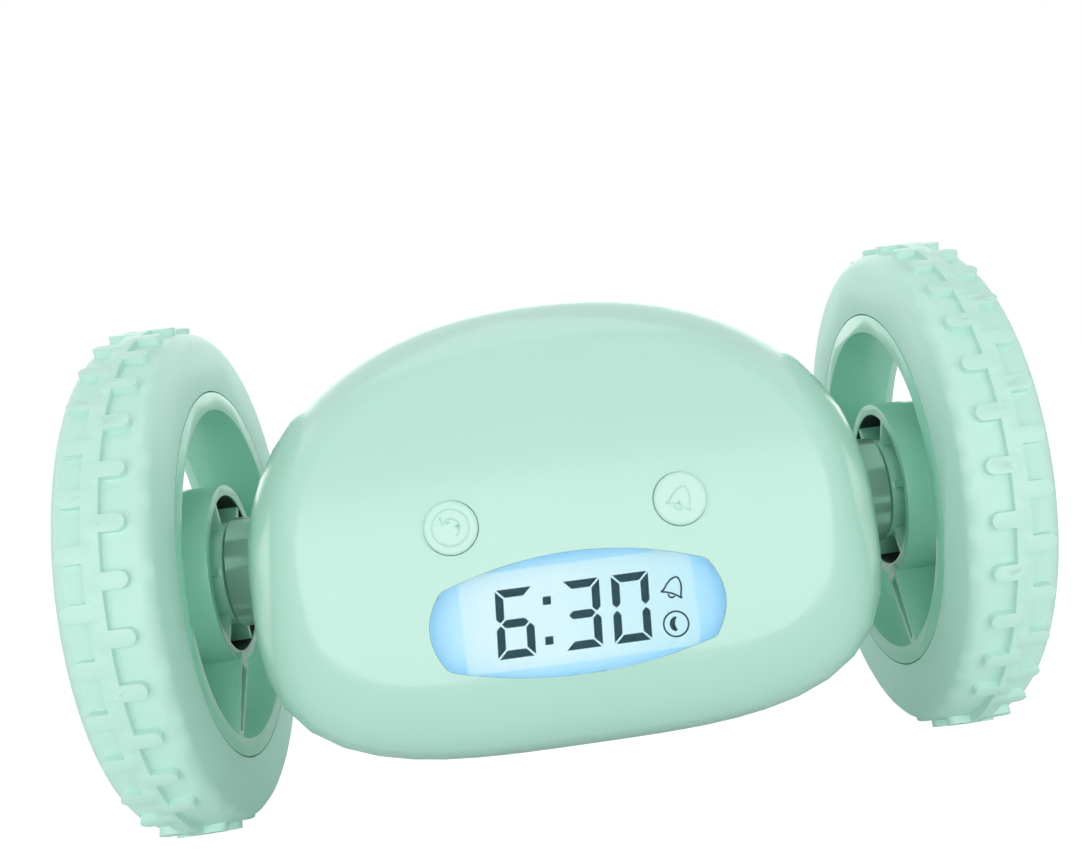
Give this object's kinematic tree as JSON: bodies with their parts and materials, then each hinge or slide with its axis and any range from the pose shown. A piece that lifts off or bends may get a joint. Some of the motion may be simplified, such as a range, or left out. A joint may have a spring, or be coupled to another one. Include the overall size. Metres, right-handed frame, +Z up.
{
  "type": "runaway alarm clock",
  "caption": "Rounded alarm clock body with a lit display and push buttons, slung between two large treaded wheels that its geared motors drive.",
  "frame": {"origin": "on the wheel axle, half way between the two wheels, which is the middle of the bounding box", "axes": "+X along the axle to the right of someone reading the face, -Y the way the face looks, +Z up"},
  "size_m": [0.1548, 0.0936, 0.0936],
  "materials": {
    "casing_plastic": "semi-gloss moulded",
    "button_plastic": "satin moulded",
    "wheel_plastic": "semi-gloss moulded",
    "tyre_rubber": "satin soft rubber",
    "clear_window": "clear polished",
    "lcd_panel": "polished",
    "light_guide": "frosted, lit light blue",
    "circuit_board": "solder mask",
    "steel": "bright",
    "nylon": "natural",
    "motor_can": "bright plated can",
    "cell_can": "plain sleeve",
    "speaker_steel": "black plated"
  },
  "bodies": {
    "chassis": {"front_casing": "casing_plastic", "rear_casing": "casing_plastic", "casing_screws": "steel", "display_window": "clear_window", "lcd_glass": "lcd_panel", "light_guide": "light_guide", "main_board": "circuit_board", "front_key_switches": "steel", "board_screws": "steel", "rear_board": "circuit_board", "rear_key_switches": "steel", "rear_board_screws": "steel", "loudspeaker": "speaker_steel", "battery_cell_1": "cell_can", "battery_cell_2": "cell_can", "battery_cell_3": "cell_can", "battery_cell_4": "cell_can", "battery_contacts": "steel", "battery_springs": "steel", "balance_weight": "steel", "left_gear_case": "nylon", "left_gear_cover": "nylon", "left_gear_pins": "steel", "left_motor": "motor_can", "left_axle_bush": "nylon", "right_gear_case": "nylon", "right_gear_cover": "nylon", "right_gear_pins": "steel", "right_motor": "motor_can", "right_axle_bush": "nylon", "gear_case_screws": "steel"},
    "left_wheel": {"left_rim": "wheel_plastic", "left_tyre": "tyre_rubber", "left_hub_cap": "wheel_plastic", "left_wheel_screw": "steel", "left_axle": "steel", "left_output_gear": "nylon"},
    "left_second": {"left_second_gear": "nylon"},
    "left_first": {"left_first_gear": "nylon"},
    "left_rotor": {"left_motor_shaft": "steel", "left_motor_pinion": "nylon"},
    "right_wheel": {"right_rim": "wheel_plastic", "right_tyre": "tyre_rubber", "right_hub_cap": "wheel_plastic", "right_wheel_screw": "steel", "right_axle": "steel", "right_output_gear": "nylon"},
    "right_second": {"right_second_gear": "nylon"},
    "right_first": {"right_first_gear": "nylon"},
    "right_rotor": {"right_motor_shaft": "steel", "right_motor_pinion": "nylon"},
    "snooze_key": {"snooze_button": "button_plastic"},
    "alarm_key": {"alarm_button": "button_plastic"},
    "hour_key": {"hour_button": "button_plastic"},
    "minute_key": {"minute_button": "button_plastic"},
    "alarm_set_key": {"alarm_set_button": "button_plastic"},
    "mode_key": {"mode_button": "button_plastic"},
    "battery_cover": {"battery_door": "casing_plastic", "door_screws": "steel"}
  },
  "joints": [
    {"name": "left_wheel_spin", "type": "hinge", "parent": "chassis", "child": "left_wheel", "pos_m": [0, 0, 0], "axis": [1, 0, 0], "continuous": true},
    {"name": "left_second_spin", "type": "hinge", "parent": "chassis", "child": "left_second", "pos_m": [0, -0.01359, 0.0024], "axis": [1, 0, 0], "continuous": true},
    {"name": "left_first_spin", "type": "hinge", "parent": "chassis", "child": "left_first", "pos_m": [0, -0.01559, -0.00893], "axis": [1, 0, 0], "continuous": true},
    {"name": "left_rotor_spin", "type": "hinge", "parent": "chassis", "child": "left_rotor", "pos_m": [0, -0.01203, -0.01987], "axis": [1, 0, 0], "continuous": true},
    {"name": "right_wheel_spin", "type": "hinge", "parent": "chassis", "child": "right_wheel", "pos_m": [0, 0, 0], "axis": [1, 0, 0], "continuous": true},
    {"name": "right_second_spin", "type": "hinge", "parent": "chassis", "child": "right_second", "pos_m": [0, -0.01359, 0.0024], "axis": [1, 0, 0], "continuous": true},
    {"name": "right_first_spin", "type": "hinge", "parent": "chassis", "child": "right_first", "pos_m": [0, -0.01559, -0.00893], "axis": [1, 0, 0], "continuous": true},
    {"name": "right_rotor_spin", "type": "hinge", "parent": "chassis", "child": "right_rotor", "pos_m": [0, -0.01203, -0.01987], "axis": [1, 0, 0], "continuous": true},
    {"name": "snooze_press", "type": "slide", "parent": "chassis", "child": "snooze_key", "axis": [0, 0.9785, -0.2062], "range_m": [0, 0.0006], "stiffness_N_per_m": 800},
    {"name": "alarm_press", "type": "slide", "parent": "chassis", "child": "alarm_key", "axis": [0, 0.9785, -0.2062], "range_m": [0, 0.0006], "stiffness_N_per_m": 800},
    {"name": "hour_press", "type": "slide", "parent": "chassis", "child": "hour_key", "axis": [0, -0.9785, 0.2062], "range_m": [0, 0.0005], "stiffness_N_per_m": 800},
    {"name": "minute_press", "type": "slide", "parent": "chassis", "child": "minute_key", "axis": [0, -0.9785, 0.2062], "range_m": [0, 0.0005], "stiffness_N_per_m": 800},
    {"name": "alarm_set_press", "type": "slide", "parent": "chassis", "child": "alarm_set_key", "axis": [0, -0.9785, 0.2062], "range_m": [0, 0.0005], "stiffness_N_per_m": 800},
    {"name": "mode_press", "type": "slide", "parent": "chassis", "child": "mode_key", "axis": [0, -0.9785, 0.2062], "range_m": [0, 0.0005], "stiffness_N_per_m": 800},
    {"name": "battery_cover_pull", "type": "slide", "parent": "chassis", "child": "battery_cover", "axis": [0, -0.2062, -0.9785], "range_m": [0, 0.02]}
  ],
  "couplings": [
    {"joint": "left_second_spin", "follows": "left_wheel_spin", "ratio": -3.6},
    {"joint": "left_first_spin", "follows": "left_wheel_spin", "ratio": 12.96},
    {"joint": "left_rotor_spin", "follows": "left_wheel_spin", "ratio": -46.656},
    {"joint": "right_second_spin", "follows": "right_wheel_spin", "ratio": -3.6},
    {"joint": "right_first_spin", "follows": "right_wheel_spin", "ratio": 12.96},
    {"joint": "right_rotor_spin", "follows": "right_wheel_spin", "ratio": -46.656}
  ]
}
